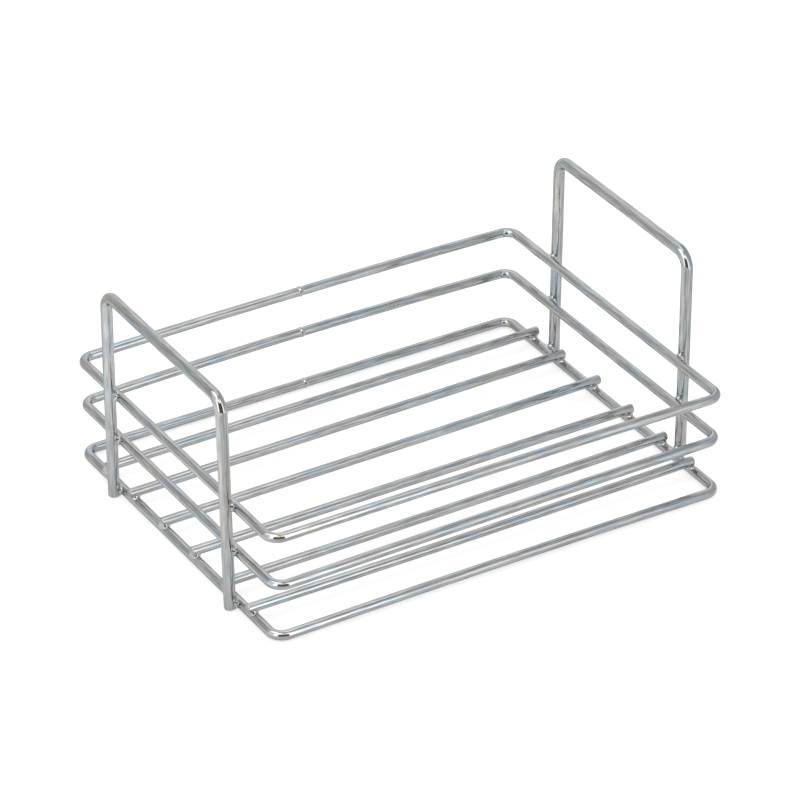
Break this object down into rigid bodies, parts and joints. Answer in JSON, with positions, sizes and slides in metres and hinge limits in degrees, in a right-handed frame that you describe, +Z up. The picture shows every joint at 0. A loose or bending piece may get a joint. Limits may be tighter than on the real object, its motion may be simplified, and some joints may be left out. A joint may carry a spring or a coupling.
{
  "type": "salt and pepper rack",
  "caption": "Chromed welded-wire carrying rack for salt and pepper shakers: stacked rectangular hoops round a floor of lengthwise rods, with an upright U-shaped handle at each end.",
  "frame": {"origin": "on the table, under the middle of the rack, level with the flat ends of the handle legs", "axes": "+X along the rack from the left handle to the right one, +Y to the rear long side with the hoops' butt welds, +Z up"},
  "size_m": [0.2192, 0.1622, 0.097],
  "materials": {
    "chromed_wire": "bright chrome plate over drawn steel wire",
    "weld": "chrome plate over lumpy weld metal"
  },
  "bodies": {
    "root": {"bottom_hoop": "chromed_wire", "middle_hoop": "chromed_wire", "top_hoop": "chromed_wire", "left_handle": "chromed_wire", "right_handle": "chromed_wire", "floor_rod_1": "chromed_wire", "floor_rod_2": "chromed_wire", "floor_rod_3": "chromed_wire", "floor_rod_4": "chromed_wire", "floor_rod_5": "chromed_wire", "floor_rod_6": "chromed_wire", "bottom_butt_weld": "weld", "middle_butt_weld": "weld", "top_butt_weld": "weld", "left_front_bottom_weld": "weld", "left_rear_bottom_weld": "weld", "left_front_middle_weld": "weld", "left_rear_middle_weld": "weld", "left_front_top_weld": "weld", "left_rear_top_weld": "weld", "right_front_bottom_weld": "weld", "right_rear_bottom_weld": "weld", "right_front_middle_weld": "weld", "right_rear_middle_weld": "weld", "right_front_top_weld": "weld", "right_rear_top_weld": "weld", "rod_1_left_weld": "weld", "rod_1_right_weld": "weld", "rod_2_left_weld": "weld", "rod_2_right_weld": "weld", "rod_3_left_weld": "weld", "rod_3_right_weld": "weld", "rod_4_left_weld": "weld", "rod_4_right_weld": "weld", "rod_5_left_weld": "weld", "rod_5_right_weld": "weld", "rod_6_left_weld": "weld", "rod_6_right_weld": "weld"}
  },
  "joints": []
}
